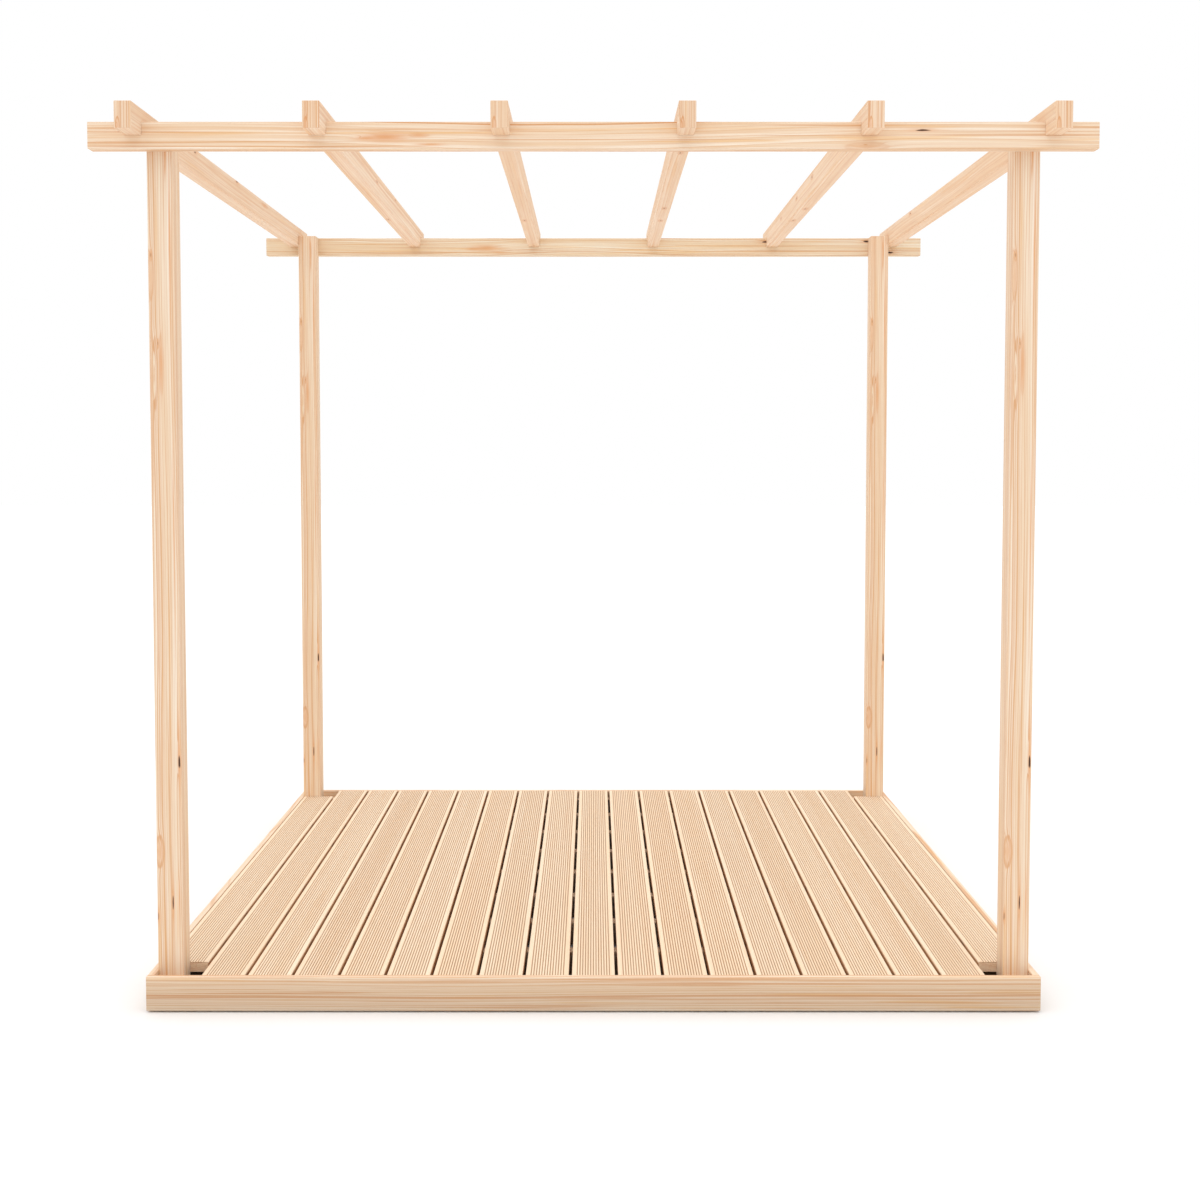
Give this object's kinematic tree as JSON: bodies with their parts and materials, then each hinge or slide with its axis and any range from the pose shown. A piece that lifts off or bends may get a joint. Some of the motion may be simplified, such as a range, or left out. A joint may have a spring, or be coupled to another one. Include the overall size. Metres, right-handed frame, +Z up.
{
  "type": "wooden pergola with raised deck",
  "caption": "Open square timber pergola frame: corner posts, two beams and notched rafters over a raised deck of reeded boards with a fascia all round.",
  "frame": {"origin": "centre of the plan at ground level", "axes": "+X right along the joists and beams, +Y from front to rear along the deck boards and rafters, +Z up"},
  "size_m": [2.658, 2.641, 2.408],
  "materials": {
    "post_timber": "planed softwood, bare",
    "beam_timber": "planed softwood, bare",
    "rafter_timber": "planed softwood, bare",
    "deck_boarding": "reeded softwood, bare",
    "fascia_boarding": "planed softwood, bare",
    "joist_timber": "planed softwood, bare"
  },
  "bodies": {
    "root": {"post_front_left": "post_timber", "post_front_right": "post_timber", "post_rear_left": "post_timber", "post_rear_right": "post_timber", "beam_front": "beam_timber", "beam_rear": "beam_timber", "rafter_1": "rafter_timber", "rafter_2": "rafter_timber", "rafter_3": "rafter_timber", "rafter_4": "rafter_timber", "rafter_5": "rafter_timber", "rafter_6": "rafter_timber", "deck_board_01": "deck_boarding", "deck_board_02": "deck_boarding", "deck_board_03": "deck_boarding", "deck_board_04": "deck_boarding", "deck_board_05": "deck_boarding", "deck_board_06": "deck_boarding", "deck_board_07": "deck_boarding", "deck_board_08": "deck_boarding", "deck_board_09": "deck_boarding", "deck_board_10": "deck_boarding", "deck_board_11": "deck_boarding", "deck_board_12": "deck_boarding", "deck_board_13": "deck_boarding", "deck_board_14": "deck_boarding", "deck_board_15": "deck_boarding", "deck_board_16": "deck_boarding", "deck_board_17": "deck_boarding", "deck_board_18": "deck_boarding", "deck_board_19": "deck_boarding", "fascia_front": "fascia_boarding", "fascia_rear": "fascia_boarding", "fascia_left": "fascia_boarding", "fascia_right": "fascia_boarding", "joist_1": "joist_timber", "joist_2": "joist_timber", "joist_3": "joist_timber", "joist_4": "joist_timber", "joist_5": "joist_timber", "joist_6": "joist_timber", "joist_7": "joist_timber", "joist_8": "joist_timber", "joist_9": "joist_timber"}
  },
  "joints": []
}
